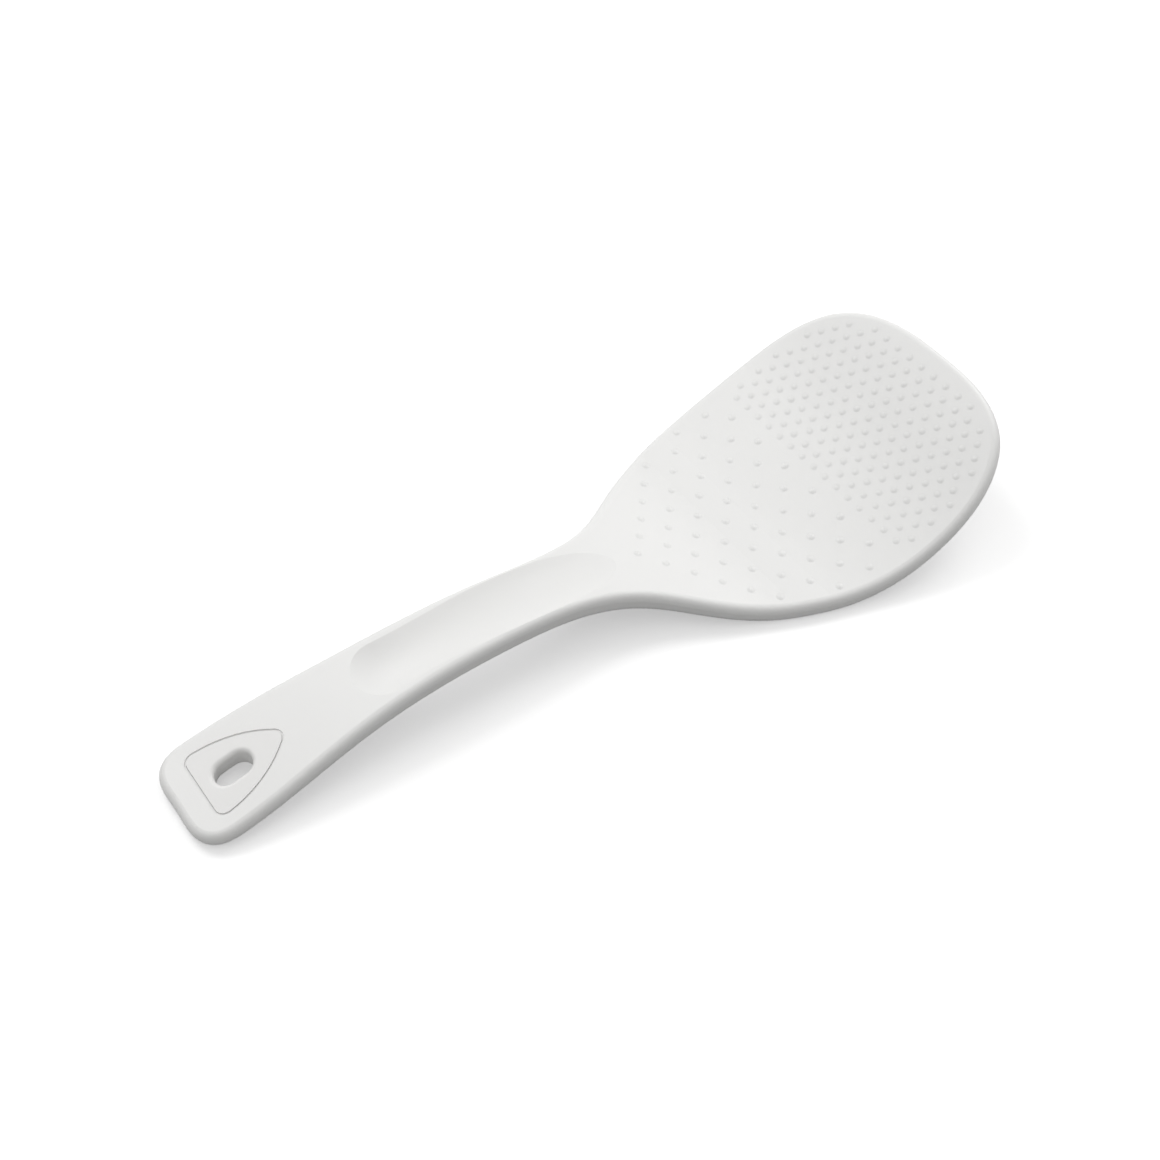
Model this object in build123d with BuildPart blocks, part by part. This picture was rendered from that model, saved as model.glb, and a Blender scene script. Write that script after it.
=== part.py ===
"""Rice paddle: a moulded blade and handle with a hang hole panel and two fields of non-stick nubs.

Millimetres. The paddle lies as it rests on a table, on the flat under its blade and on its handle end.
+X runs from the handle end to the tip, +Z is up, and the origin is the middle of the bottom of its box.
"""
import os

from build123d import *

os.makedirs("parts", exist_ok=True)

# Plan view: the length and the widths
overall_length = 194.0
blade_width = 70.0
handle_end_width = 25.0
end_corner_length = 8.0
handle_middle_width = 20.0
waist_width = 17.0
neck_width = 23.5

# Where those widths lie, as shares of the length from the handle end
handle_middle_share = 0.196
waist_share = 0.381
neck_share = 0.528
widest_share = 0.835

# Points between those places, each as shares of the length and the width that it covers
end_corner_shares = ((0.16, 0.78), (0.40, 0.92))
flare_shares = ((0.24, 0.40), (0.54, 0.79))
tip_shares = ((0.52, 0.935), (0.79, 0.775), (0.94, 0.52))

# Side view: heights above the table, and thicknesses
end_height = 3.4
arch_height = 14.4
tip_height = 25.7
end_thickness = 3.6
handle_thickness = 4.75
neck_thickness = 4.8
belly_thickness = 4.3
tip_thickness = 4.0
rest_flat_length = 8.0

# How much of the thinnest thickness the rounding of each rim takes
edge_round_share = 0.46

# Where the handle is highest and the blade lowest, as shares of the length from the handle end
arch_share = 0.32
belly_share = 0.696

# Points of the side view between those places, as shares of the run and of the rise or fall
end_rise_shares = (0.45, 0.59)
neck_fall_shares = (0.60, 0.485)
blade_rise_shares = (0.50, 0.26)

# Slopes at the two ends, as shares of the mean slope between them and the nearest level place
end_slope_share = 0.85
tip_slope_share = 1.18

# Thumb channel along the top of the handle
channel_radius = 20.0
channel_depth = 1.2

# Where it starts, where it begins to fade and where it ends, as shares of the length from the handle end
channel_shares = (0.242, 0.454, 0.546)

# Panel round the hang hole, let in flush with the handle's top
panel_start = 5.8
panel_length = 18.6
panel_width = 16.0
panel_bow = 2.2
panel_corner_round = 2.0
panel_thickness = 1.4
panel_clearance = 0.05

# Groove drawn round the panel
groove_width = 0.45
groove_depth = 0.25

# Hang hole, through the panel and the handle
hole_centre = 12.9
hole_length = 8.0
hole_width = 5.4
hole_corner_round = 2.6
hole_rim_round = 0.9

# Non-stick nubs: an open field that fans out from the neck, and a close one towards the tip
open_nub_width = 1.8
open_nub_height = 0.36
open_pitch_along = 4.12
open_pitch_across = 4.84
open_edge_margin = 3.2
close_nub_width = 1.6
close_nub_height = 0.3
close_pitch_along = 2.76
close_pitch_across = 1.99
close_edge_margin = 4.0
nub_sides = 6
nub_taper = 40
nub_lift = 0.02

# Where the open field and the close field start, as shares of the length from the handle end
open_field_share = 0.566
close_field_share = 0.818

# How far every cutter runs past the surface that it cuts
overrun = 5.0

# A face whose normal rises by less than this share counts as upright
upright_share = 0.01

# A curve keeps the pace of its points at both ends
even_speed = (1, 1)

tail = -overall_length / 2
handle_middle_place = overall_length * handle_middle_share
waist_place = overall_length * waist_share
neck_place = overall_length * neck_share
widest_place = overall_length * widest_share
arch_place = overall_length * arch_share
belly_place = overall_length * belly_share


def along(place):
    """X of a place measured from the handle end."""
    return tail + place


def between(start, end, share):
    """The point that lies a share of the way from start to end."""
    return start + (end - start) * share


# The outline seen from above, one half of it, then mirrored
half_end = handle_end_width / 2
half_neck = neck_width / 2
half_blade = blade_width / 2
end_points = [
    (along(end_corner_length * share_x), half_end * share_y) for share_x, share_y in end_corner_shares
]
flare_points = [
    (along(between(neck_place, widest_place, share_x)), between(half_neck, half_blade, share_y))
    for share_x, share_y in flare_shares
]
tip_points = [
    (along(between(widest_place, overall_length, share_x)), half_blade * share_y)
    for share_x, share_y in tip_shares
]
with BuildLine() as half_outline:
    Spline(
        (along(0), 0),
        *end_points,
        (along(end_corner_length), half_end),
        tangents=((0, 1), (1, 0)),
        tangent_scalars=even_speed,
    )
    Spline(
        (along(end_corner_length), half_end),
        (along(handle_middle_place), handle_middle_width / 2),
        (along(waist_place), waist_width / 2),
        (along(neck_place), half_neck),
        *flare_points,
        (along(widest_place), half_blade),
        tangents=((1, 0), (1, 0)),
        tangent_scalars=even_speed,
    )
    Spline(
        (along(widest_place), half_blade),
        *tip_points,
        (along(overall_length), 0),
        tangents=((1, 0), (0, -1)),
        tangent_scalars=even_speed,
    )

with BuildSketch(Plane.XY.offset(-overrun)) as outline:
    with BuildLine():
        add(half_outline.line)
        mirror(half_outline.line, about=Plane.XZ)
    make_face()

# The side view: a top curve, and an underside that holds the thicknesses and the flat that it rests on
rise_x, rise_z = end_rise_shares
fall_x, fall_z = neck_fall_shares
blade_x, blade_z = blade_rise_shares
neck_top = between(arch_height, belly_thickness, fall_z)
neck_station = between(arch_place, belly_place, fall_x)
end_station = arch_place * rise_x
end_top = between(end_height, arch_height, rise_z)
blade_station = between(belly_place, overall_length, blade_x)
blade_top = between(belly_thickness, tip_height, blade_z)
blade_middle_thickness = (belly_thickness + tip_thickness) / 2
end_middle_thickness = (end_thickness + handle_thickness) / 2
flat_start = belly_place - rest_flat_length / 2
flat_end = belly_place + rest_flat_length / 2
edge_round = edge_round_share * min(
    end_thickness, handle_thickness, neck_thickness, belly_thickness, tip_thickness
)

# The thicknesses at the two ends are square to the slopes there
end_slope = end_slope_share * (arch_height - end_height) / arch_place
tip_slope = tip_slope_share * (tip_height - belly_thickness) / (overall_length - flat_end)
end_drop = end_thickness * Vector(1, end_slope).length
tip_drop = tip_thickness * Vector(1, tip_slope).length

with BuildSketch(Plane.XZ.offset(-blade_width)) as side_view:
    with BuildLine():
        handle_top = Spline(
            (along(-overrun), end_height - overrun * end_slope),
            (along(0), end_height),
            (along(end_station), end_top),
            (along(arch_place), arch_height),
            (along(neck_station), neck_top),
            (along(flat_start), belly_thickness),
            tangents=((1, end_slope), (1, 0)),
            tangent_scalars=even_speed,
        )
        Line((along(flat_start), belly_thickness), (along(flat_end), belly_thickness))
        blade_top_curve = Spline(
            (along(flat_end), belly_thickness),
            (along(blade_station), blade_top),
            (along(overall_length), tip_height),
            (along(overall_length + overrun), tip_height + overrun * tip_slope),
            tangents=((1, 0), (1, tip_slope)),
            tangent_scalars=even_speed,
        )
        under_blade = Spline(
            (along(overall_length + overrun), tip_height + overrun * tip_slope - tip_drop),
            (along(overall_length), tip_height - tip_drop),
            (along(blade_station), blade_top - blade_middle_thickness),
            (along(flat_end), 0),
            tangents=((-1, -tip_slope), (-1, 0)),
            tangent_scalars=even_speed,
        )
        Line((along(flat_end), 0), (along(flat_start), 0))
        under_handle = Spline(
            (along(flat_start), 0),
            (along(neck_station), neck_top - neck_thickness),
            (along(arch_place), arch_height - handle_thickness),
            (along(end_station), end_top - end_middle_thickness),
            (along(0), end_height - end_drop),
            (along(-overrun), end_height - overrun * end_slope - end_drop),
            tangents=((-1, 0), (-1, -end_slope)),
            tangent_scalars=even_speed,
        )
        Line(handle_top @ 0, under_handle @ 1)
        Line(blade_top_curve @ 1, under_blade @ 0)
    make_face()


def on_top(place, height=0.0):
    """X and Z of a point over the top at a place, at a height square to it, and the direction of the top."""
    if flat_start <= place <= flat_end:
        return along(place), belly_thickness + height, Vector(1, 0)
    top_curve = handle_top if place < flat_start else blade_top_curve
    low, high = 0.0, 1.0
    while high - low > 1e-6:
        middle = (low + high) / 2
        if (top_curve @ middle).X < along(place):
            low = middle
        else:
            high = middle
    point = top_curve @ low
    run = top_curve % low
    return point.X - run.Y * height, point.Y + run.X * height, run


# The panel round the hang hole, the pocket that it lies in, the groove round it, and the hole
panel_end = panel_start + panel_length
panel_corner = Vector(along(panel_start), panel_width / 2)
panel_tip = Vector(along(panel_end), 0)
side_run = panel_tip - panel_corner
bow_point = panel_corner + side_run / 2 + Vector(-side_run.Y, side_run.X).normalized() * panel_bow
with BuildSketch() as panel_outline:
    with BuildLine():
        far_side = ThreePointArc(panel_corner, bow_point, panel_tip)
        mirror(far_side, about=Plane.XZ)
        Line(panel_corner, (panel_corner.X, -panel_corner.Y))
    make_face()
    fillet(panel_outline.vertices(), radius=panel_corner_round)

with BuildSketch() as pocket_outline:
    add(panel_outline.sketch)
    offset(amount=panel_clearance)

with BuildSketch() as groove_outline:
    add(panel_outline.sketch)
    offset(amount=groove_width)

with BuildSketch() as hole_outline:
    with Locations((along(hole_centre), 0)):
        RectangleRounded(hole_length, hole_width, hole_corner_round)


def side_view_over(depth):
    """The side view of all that lies over a bed at a depth under the handle's top, from its end to the arch."""
    with BuildSketch(Plane.XZ) as over_bed:
        with BuildLine():
            bed = Spline(*[on_top(place, -depth)[:2] for place in (0, panel_start, panel_end, arch_place)])
            Polyline(
                bed @ 1,
                ((bed @ 1).X, arch_height + overrun),
                ((bed @ 0).X, arch_height + overrun),
                bed @ 0,
            )
        make_face()
    return over_bed.sketch


# The thumb channel: a round bottom that runs level with the handle's top and fades out at the neck
channel_start, channel_full_end, channel_fade_end = [overall_length * share for share in channel_shares]
channel_lift = channel_radius - channel_depth
with BuildLine(Plane.XZ) as channel_path:
    Spline(
        on_top(channel_start, channel_lift)[:2],
        on_top((channel_start + channel_full_end) / 2, channel_lift)[:2],
        on_top(channel_full_end, channel_lift)[:2],
        on_top(channel_fade_end, channel_radius + channel_depth / 2)[:2],
    )
with BuildPart() as channel_cutter:
    with BuildSketch(Plane(origin=channel_path.line @ 0, z_dir=channel_path.line % 0)):
        Circle(channel_radius)
    sweep(path=channel_path.line)
    with Locations(channel_path.line @ 0):
        Sphere(channel_radius)

with BuildPart() as pocket_cutter:
    extrude(pocket_outline.sketch, amount=arch_height + overrun)
    extrude(side_view_over(panel_thickness), amount=blade_width, both=True, mode=Mode.INTERSECT)

with BuildPart() as groove_cutter:
    extrude(groove_outline.sketch, amount=arch_height + overrun)
    extrude(side_view_over(groove_depth), amount=blade_width, both=True, mode=Mode.INTERSECT)

with BuildPart() as hole_cutter:
    extrude(hole_outline.sketch, amount=arch_height + overrun, both=True)

# The moulding: the side view drawn across the width, cut to the outline, with its rims rounded
with BuildPart() as paddle_body:
    extrude(side_view.sketch, amount=2 * blade_width)
    extrude(outline.sketch, amount=tip_height + 3 * overrun, mode=Mode.INTERSECT)
    upper_and_lower = paddle_body.faces().filter_by(lambda face: abs(face.normal_at().Z) > upright_share)
    fillet(upper_and_lower.edges().filter_by(Axis.Y, reverse=True), radius=edge_round)
    add(channel_cutter.part, mode=Mode.SUBTRACT)
    add(pocket_cutter.part, mode=Mode.SUBTRACT)
    add(groove_cutter.part, mode=Mode.SUBTRACT)
    add(hole_cutter.part, mode=Mode.SUBTRACT)
paddle_body.part.label = "paddle_body"
export_step(paddle_body.part, "parts/paddle_body.step")

# The panel fills its pocket up to the handle's top, and the hang hole's rim is rounded
with BuildPart() as hang_hole_panel:
    extrude(side_view.sketch, amount=2 * blade_width)
    extrude(panel_outline.sketch, amount=arch_height + overrun, mode=Mode.INTERSECT)
    extrude(side_view_over(panel_thickness), amount=blade_width, both=True, mode=Mode.INTERSECT)
    add(hole_cutter.part, mode=Mode.SUBTRACT)
    holed_faces = hang_hole_panel.faces().filter_by(lambda face: len(face.inner_wires()) > 0)
    fillet(holed_faces.sort_by(Axis.Z)[-1].inner_wires().edges(), radius=hole_rim_round)
hang_hole_panel.part.label = "hang_hole_panel"
export_step(hang_hole_panel.part, "parts/hang_hole_panel.step")


def field_planes(start, end, pitch_along, pitch_across, edge_margin, fans_out):
    """A plane on the blade for each nub of a field, in columns staggered by one row."""
    with BuildSketch() as room:
        add(outline.sketch)
        offset(amount=-edge_margin)
    allowed = room.sketch.face()
    planes = []
    place = start
    column = 0
    while place < end:
        x, z, run = on_top(place, nub_lift)
        last_row = column if fans_out else int(blade_width / pitch_across)
        for row in range(-last_row, last_row + 1):
            y = row * pitch_across
            if (row + column) % 2 == 0 and allowed.is_inside((x, y, allowed.center().Z)):
                planes.append(Plane((x, y, z), x_dir=(run.X, 0, run.Y), z_dir=(-run.Y, 0, run.X)))
        place += pitch_along * run.X
        column += 1
    return planes


def make_nub(width, height):
    """One low nub with flat tapered sides, seated at the origin."""
    with BuildPart() as nub:
        with BuildSketch():
            RegularPolygon(width / 2, nub_sides)
        extrude(amount=height, taper=nub_taper)
    return nub.part


open_field_start = overall_length * open_field_share
close_field_start = overall_length * close_field_share
open_planes = field_planes(
    open_field_start,
    close_field_start - close_pitch_along,
    open_pitch_along,
    open_pitch_across,
    open_edge_margin,
    fans_out=True,
)
with BuildPart() as open_nubs:
    with Locations(*open_planes):
        add(make_nub(open_nub_width, open_nub_height))
open_nubs.part.label = "open_nubs"
export_step(open_nubs.part, "parts/open_nubs.step")

close_planes = field_planes(
    close_field_start,
    overall_length - close_edge_margin,
    close_pitch_along,
    close_pitch_across,
    close_edge_margin,
    fans_out=False,
)
with BuildPart() as close_nubs:
    with Locations(*close_planes):
        add(make_nub(close_nub_width, close_nub_height))
close_nubs.part.label = "close_nubs"
export_step(close_nubs.part, "parts/close_nubs.step")
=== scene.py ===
"""Looks of the rice paddle: camera, studio, moulded white plastic and round non-stick nubs."""

import math

import bmesh
import bpy
from mathutils import Matrix, Vector
from mathutils.bvhtree import BVHTree


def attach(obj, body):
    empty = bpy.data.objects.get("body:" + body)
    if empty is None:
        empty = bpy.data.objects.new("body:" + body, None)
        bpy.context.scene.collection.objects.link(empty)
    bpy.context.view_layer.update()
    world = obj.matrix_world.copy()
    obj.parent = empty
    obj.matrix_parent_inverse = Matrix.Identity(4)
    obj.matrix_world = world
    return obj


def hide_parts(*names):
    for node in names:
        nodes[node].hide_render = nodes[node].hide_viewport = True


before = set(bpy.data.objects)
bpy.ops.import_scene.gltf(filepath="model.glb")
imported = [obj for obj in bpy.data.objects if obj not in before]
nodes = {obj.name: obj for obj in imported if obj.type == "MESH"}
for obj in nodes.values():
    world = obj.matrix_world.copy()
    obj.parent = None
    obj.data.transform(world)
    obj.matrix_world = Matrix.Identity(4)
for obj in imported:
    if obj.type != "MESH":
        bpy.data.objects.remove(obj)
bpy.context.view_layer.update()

# A millimetre, in the metres of the scene
MM = 0.001

# The two tones that each plastic clouds between, and its range of roughness
BODY_TONES = ((0.815, 0.813, 0.800), (0.80, 0.798, 0.788))
BODY_ROUGHNESS = (0.38, 0.48)
PANEL_TONES = ((0.81, 0.806, 0.793), (0.795, 0.79, 0.78))
PANEL_ROUGHNESS = (0.42, 0.52)

# How the plastic bends light, how much light it takes in and spreads, and how far that light goes
PLASTIC_IOR = 1.49
SPREAD_SHARE = 0.12
SPREAD_DEPTH = 1.5 * MM

# The moulded skin: about how many clouds and grains lie along a metre, their detail, and the grains' height
CLOUD_SCALE = 40.0
CLOUD_DETAIL = 3.0
GRAIN_SCALE = 2600.0
GRAIN_DETAIL = 2.0
GRAIN_HEIGHT = 0.006 * MM

# A round nub's profile from its buried foot to its crown, as shares of its radius and its height
NUB_PROFILE_SHARES = (
    (1.25, -0.30), (1.06, -0.02), (0.86, 0.16), (0.60, 0.55), (0.32, 0.88), (0.0, 1.0),
)
NUB_STEPS = 12

# How much of the CAD nub's height a round nub has, so that it is about as soft as in the photograph
OPEN_RISE_SHARE = 0.50
CLOSE_RISE_SHARE = 0.32

# How near two corners of a mesh are the same one, in metres for the CAD nubs and in shares for a round nub
SAME_CORNER = 0.001 * MM
SAME_CORNER_SHARE = 1e-4

# How far over its foot a corner of a CAD nub still belongs to the foot
FOOT_DEPTH = 0.01 * MM

# How far over a seat the search for the blade's skin starts
SEAT_SEARCH = 1.0 * MM

# The floor's colour to the camera and to light that bounces off it, its roughness, and its least glow
FLOOR_SEEN = (0.84, 0.84, 0.84)
FLOOR_BOUNCE = (0.20, 0.20, 0.20)
FLOOR_ROUGHNESS = 0.9
FLOOR_LIFT = 0.38

# The floor's half width, its depth under the paddle, and where its glow starts to grow and is full
FLOOR_REACH = 4.0
FLOOR_DROP = -0.02 * MM
GLOW_START = 0.25
GLOW_FULL = 0.60

# The sky's light on the paddle, and the width of both softboxes, their places in metres and their watts
SKY_LIGHT = 0.57
SOFTBOX_WIDTH = 0.5
BACK_SOFTBOX_PLACE = (-0.1, 0.66, 0.74)
BACK_SOFTBOX_POWER = 3.4
END_SOFTBOX_PLACE = (0.75, 0.22, 0.62)
END_SOFTBOX_POWER = 2.9

# The photograph's view: from above the near side, a little behind the handle end
CAMERA_PLACE = (-147.56 * MM, -204.36 * MM, 285.38 * MM)
CAMERA_DEGREES = (42.248, -0.596, -34.747)
CAMERA_SENSOR = 36.0
CAMERA_LENS = 55.0
CAMERA_NEAREST = 0.01
CAMERA_FARTHEST = 20.0


# Plastic

def add_socket(group, name, in_out, socket_type, default=None):
    """Adds a named socket to a shader node group."""
    socket = group.interface.new_socket(name, in_out=in_out, socket_type=socket_type)
    if default is not None:
        socket.default_value = default


def moulded_skin():
    """Tone, roughness and bump of a moulded skin: a fine spark-eroded grain over slow flow clouds."""
    group = bpy.data.node_groups.new("moulded_skin", "ShaderNodeTree")
    add_socket(group, "Tone A", "INPUT", "NodeSocketColor")
    add_socket(group, "Tone B", "INPUT", "NodeSocketColor")
    add_socket(group, "Roughness Low", "INPUT", "NodeSocketFloat")
    add_socket(group, "Roughness High", "INPUT", "NodeSocketFloat")
    add_socket(group, "Cloud Scale", "INPUT", "NodeSocketFloat", CLOUD_SCALE)
    add_socket(group, "Grain Scale", "INPUT", "NodeSocketFloat", GRAIN_SCALE)
    add_socket(group, "Grain Height", "INPUT", "NodeSocketFloat", GRAIN_HEIGHT)
    add_socket(group, "Color", "OUTPUT", "NodeSocketColor")
    add_socket(group, "Roughness", "OUTPUT", "NodeSocketFloat")
    add_socket(group, "Normal", "OUTPUT", "NodeSocketVector")
    tree = group.nodes
    link = group.links.new
    given = tree.new("NodeGroupInput")
    result = tree.new("NodeGroupOutput")
    place = tree.new("ShaderNodeTexCoord")

    clouds = tree.new("ShaderNodeTexNoise")
    clouds.inputs["Detail"].default_value = CLOUD_DETAIL
    link(place.outputs["Object"], clouds.inputs["Vector"])
    link(given.outputs["Cloud Scale"], clouds.inputs["Scale"])

    tone = tree.new("ShaderNodeMix")
    tone.data_type = "RGBA"
    link(clouds.outputs["Fac"], tone.inputs["Factor"])
    link(given.outputs["Tone A"], tone.inputs["A"])
    link(given.outputs["Tone B"], tone.inputs["B"])
    link(tone.outputs["Result"], result.inputs["Color"])

    gloss = tree.new("ShaderNodeMapRange")
    link(clouds.outputs["Fac"], gloss.inputs["Value"])
    link(given.outputs["Roughness Low"], gloss.inputs["To Min"])
    link(given.outputs["Roughness High"], gloss.inputs["To Max"])
    link(gloss.outputs["Result"], result.inputs["Roughness"])

    grain = tree.new("ShaderNodeTexNoise")
    grain.inputs["Detail"].default_value = GRAIN_DETAIL
    link(place.outputs["Object"], grain.inputs["Vector"])
    link(given.outputs["Grain Scale"], grain.inputs["Scale"])

    relief = tree.new("ShaderNodeBump")
    link(grain.outputs["Fac"], relief.inputs["Height"])
    link(given.outputs["Grain Height"], relief.inputs["Distance"])
    link(relief.outputs["Normal"], result.inputs["Normal"])
    return group


skin = moulded_skin()


def plastic(name, tones, roughness):
    """A white moulded plastic with its own two tones and range of roughness."""
    material = bpy.data.materials.new(name)
    material.use_nodes = True
    tree = material.node_tree
    shader = tree.nodes["Principled BSDF"]
    surface = tree.nodes.new("ShaderNodeGroup")
    surface.node_tree = skin
    surface.inputs["Tone A"].default_value = (*tones[0], 1)
    surface.inputs["Tone B"].default_value = (*tones[1], 1)
    surface.inputs["Roughness Low"].default_value = roughness[0]
    surface.inputs["Roughness High"].default_value = roughness[1]
    tree.links.new(surface.outputs["Color"], shader.inputs["Base Color"])
    tree.links.new(surface.outputs["Roughness"], shader.inputs["Roughness"])
    tree.links.new(surface.outputs["Normal"], shader.inputs["Normal"])
    shader.inputs["IOR"].default_value = PLASTIC_IOR
    shader.inputs["Subsurface Weight"].default_value = SPREAD_SHARE
    shader.inputs["Subsurface Radius"].default_value = (1.0, 1.0, 1.0)
    shader.inputs["Subsurface Scale"].default_value = SPREAD_DEPTH
    return material


body_plastic = plastic("white_plastic", BODY_TONES, BODY_ROUGHNESS)
panel_plastic = plastic("panel_plastic", PANEL_TONES, PANEL_ROUGHNESS)


def dress(piece, material):
    """Gives a piece one material and no other."""
    piece.data.materials.clear()
    piece.data.materials.append(material)


dress(nodes["paddle_body"], body_plastic)
dress(nodes["hang_hole_panel"], panel_plastic)


# Nubs

def skin_of(node):
    """The surface of a CAD node, ready for rays."""
    mesh = bmesh.new()
    mesh.from_mesh(nodes[node].data)
    tree = BVHTree.FromBMesh(mesh)
    mesh.free()
    return tree


blade_skin = skin_of("paddle_body")


def joined_corners(mesh):
    """The corners of each separate solid in a mesh, found by walking along its edges."""
    found = set()
    solids = []
    for start in mesh.verts:
        if start in found:
            continue
        found.add(start)
        solid = [start]
        for corner in solid:
            for edge in corner.link_edges:
                other = edge.other_vert(corner)
                if other not in found:
                    found.add(other)
                    solid.append(other)
        solids.append(solid)
    return solids


def seats_of(node):
    """The seat on the blade, the way up, the radius and the height of each nub in a CAD node."""
    mesh = bmesh.new()
    mesh.from_mesh(nodes[node].data)
    bmesh.ops.remove_doubles(mesh, verts=mesh.verts, dist=SAME_CORNER)
    seats = []
    for nub in joined_corners(mesh):
        faces = [face for corner in nub for face in corner.link_faces]
        foot = max(faces, key=lambda face: face.calc_area())
        up = -foot.normal
        level = foot.verts[0].co.dot(up)
        base = [corner.co for corner in nub if corner.co.dot(up) < level + FOOT_DEPTH]
        middle = sum(base, Vector()) / len(base)
        radius = max((corner - middle).length for corner in base)
        height = max(corner.co.dot(up) for corner in nub) - level
        seat = blade_skin.ray_cast(middle + SEAT_SEARCH * up, -up)[0]
        seats.append((seat, up, radius, height))
    mesh.free()
    return seats


def round_nub():
    """One nub of unit radius and height: its profile spun about the upright and closed below."""
    nub = bmesh.new()
    profile = [nub.verts.new((share, 0, height)) for share, height in NUB_PROFILE_SHARES]
    edges = [nub.edges.new(pair) for pair in zip(profile, profile[1:])]
    bmesh.ops.spin(
        nub, geom=profile + edges, cent=(0, 0, 0), axis=(0, 0, 1), angle=2 * math.pi,
        steps=NUB_STEPS, use_merge=True,
    )
    bmesh.ops.remove_doubles(nub, verts=nub.verts, dist=SAME_CORNER_SHARE)
    bmesh.ops.holes_fill(nub, edges=nub.edges, sides=NUB_STEPS)
    bmesh.ops.recalc_face_normals(nub, faces=nub.faces)
    mesh = bpy.data.meshes.new("round_nub")
    nub.to_mesh(mesh)
    nub.free()
    return mesh


nub_shape = round_nub()


def nub_field(name, node, rise_share):
    """Round nubs on the seats of a CAD node's nubs, as one piece."""
    field = bmesh.new()
    for seat, up, radius, height in seats_of(node):
        before = len(field.verts)
        field.from_mesh(nub_shape)
        field.verts.ensure_lookup_table()
        stand = Matrix.Translation(seat) @ up.to_track_quat("Z", "X").to_matrix().to_4x4()
        size = Matrix.Diagonal((radius, radius, rise_share * height, 1))
        bmesh.ops.transform(field, matrix=stand @ size, verts=field.verts[before:])
    for face in field.faces:
        face.smooth = True
    mesh = bpy.data.meshes.new(name)
    field.to_mesh(mesh)
    field.free()
    piece = bpy.data.objects.new(name, mesh)
    bpy.context.scene.collection.objects.link(piece)
    dress(piece, body_plastic)
    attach(piece, "root")
    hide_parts(node)


nub_field("open_round_nubs", "open_nubs", OPEN_RISE_SHARE)
nub_field("close_round_nubs", "close_nubs", CLOSE_RISE_SHARE)
bpy.data.meshes.remove(nub_shape)


# Studio

def seen_directly(tree):
    """An output that is 1 for rays that see a thing: from the camera, mirrored or let through."""
    path = tree.nodes.new("ShaderNodeLightPath")
    mirrored = tree.nodes.new("ShaderNodeMath")
    mirrored.operation = "MAXIMUM"
    tree.links.new(path.outputs["Is Glossy Ray"], mirrored.inputs[0])
    tree.links.new(path.outputs["Is Transmission Ray"], mirrored.inputs[1])
    seen = tree.nodes.new("ShaderNodeMath")
    seen.operation = "MAXIMUM"
    tree.links.new(path.outputs["Is Camera Ray"], seen.inputs[0])
    tree.links.new(mirrored.outputs[0], seen.inputs[1])
    return seen.outputs[0]


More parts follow.
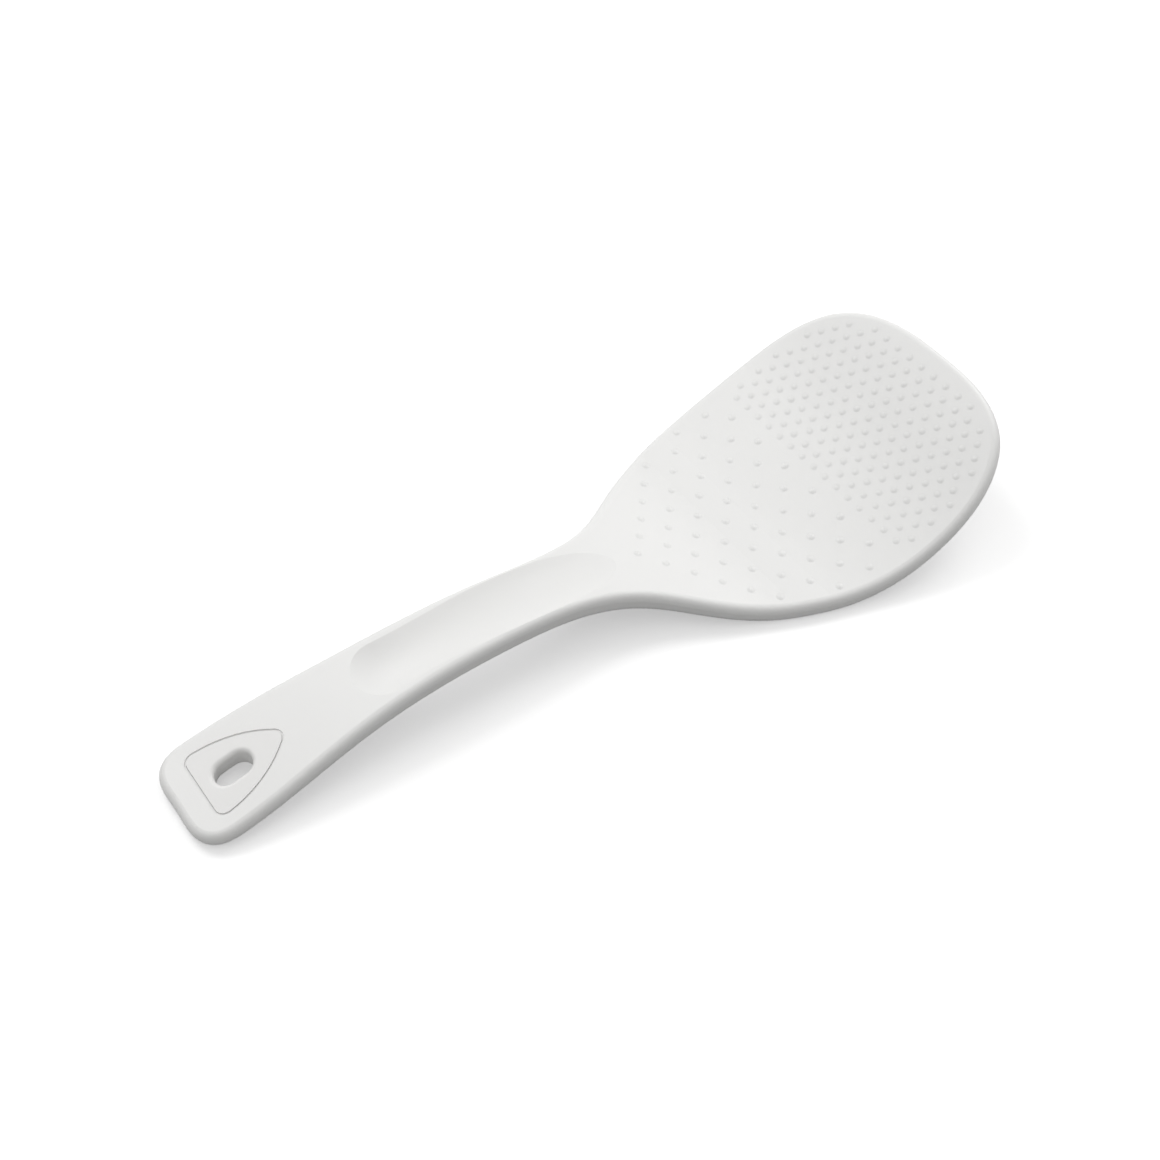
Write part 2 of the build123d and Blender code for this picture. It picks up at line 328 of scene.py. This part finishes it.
def white_floor():
    """A plain white floor that keeps the paddle's shadow and glows more and more away from the paddle."""
    mesh = bpy.data.meshes.new("floor")
    sheet = bmesh.new()
    bmesh.ops.create_grid(sheet, x_segments=1, y_segments=1, size=FLOOR_REACH)
    sheet.to_mesh(mesh)
    sheet.free()
    floor = bpy.data.objects.new("floor", mesh)
    floor.location.z = FLOOR_DROP
    bpy.context.scene.collection.objects.link(floor)

    material = bpy.data.materials.new("white_floor")
    material.use_nodes = True
    tree = material.node_tree
    link = tree.links.new
    shader = tree.nodes["Principled BSDF"]
    shader.inputs["Roughness"].default_value = FLOOR_ROUGHNESS
    shader.inputs["Specular IOR Level"].default_value = 0.0
    seen = seen_directly(tree)

    albedo = tree.nodes.new("ShaderNodeMix")
    albedo.data_type = "RGBA"
    albedo.inputs["A"].default_value = (*FLOOR_BOUNCE, 1)
    albedo.inputs["B"].default_value = (*FLOOR_SEEN, 1)
    link(seen, albedo.inputs["Factor"])
    link(albedo.outputs["Result"], shader.inputs["Base Color"])

    place = tree.nodes.new("ShaderNodeTexCoord")
    distance = tree.nodes.new("ShaderNodeVectorMath")
    distance.operation = "LENGTH"
    link(place.outputs["Object"], distance.inputs[0])
    glow = tree.nodes.new("ShaderNodeMapRange")
    glow.inputs["From Min"].default_value = GLOW_START
    glow.inputs["From Max"].default_value = GLOW_FULL
    glow.inputs["To Min"].default_value = FLOOR_LIFT
    link(distance.outputs["Value"], glow.inputs["Value"])
    lift = tree.nodes.new("ShaderNodeMath")
    lift.operation = "MULTIPLY"
    link(seen, lift.inputs[0])
    link(glow.outputs["Result"], lift.inputs[1])
    shader.inputs["Emission Color"].default_value = (1, 1, 1, 1)
    link(lift.outputs[0], shader.inputs["Emission Strength"])
    dress(floor, material)


white_floor()


def softbox(name, place, power):
    """A square soft light at a place, turned towards the origin."""
    light = bpy.data.lights.new(name, "AREA")
    light.shape = "SQUARE"
    light.size = SOFTBOX_WIDTH
    light.energy = power
    lamp = bpy.data.objects.new(name, light)
    lamp.location = place
    lamp.rotation_euler = (-Vector(place)).to_track_quat("-Z", "Y").to_euler()
    bpy.context.scene.collection.objects.link(lamp)


softbox("back_softbox", BACK_SOFTBOX_PLACE, BACK_SOFTBOX_POWER)
softbox("end_softbox", END_SOFTBOX_PLACE, END_SOFTBOX_POWER)


def white_world():
    """A plain sky that lights the paddle evenly and is white where it is seen."""
    world = bpy.data.worlds.new("studio")
    bpy.context.scene.world = world
    world.use_nodes = True
    tree = world.node_tree
    strength = tree.nodes.new("ShaderNodeMapRange")
    strength.inputs["To Min"].default_value = SKY_LIGHT
    tree.links.new(seen_directly(tree), strength.inputs["Value"])
    sky = tree.nodes["Background"]
    sky.inputs["Color"].default_value = (1, 1, 1, 1)
    tree.links.new(strength.outputs["Result"], sky.inputs["Strength"])


white_world()


def photo_camera():
    """The camera that shows the paddle as the photograph does."""
    lens = bpy.data.cameras.new("camera")
    lens.sensor_width = CAMERA_SENSOR
    lens.lens = CAMERA_LENS
    lens.clip_start = CAMERA_NEAREST
    lens.clip_end = CAMERA_FARTHEST
    camera = bpy.data.objects.new("camera", lens)
    camera.location = CAMERA_PLACE
    camera.rotation_euler = [math.radians(turn) for turn in CAMERA_DEGREES]
    bpy.context.scene.collection.objects.link(camera)
    return camera


bpy.context.scene.camera = photo_camera()
bpy.context.scene.view_settings.view_transform = "Standard"
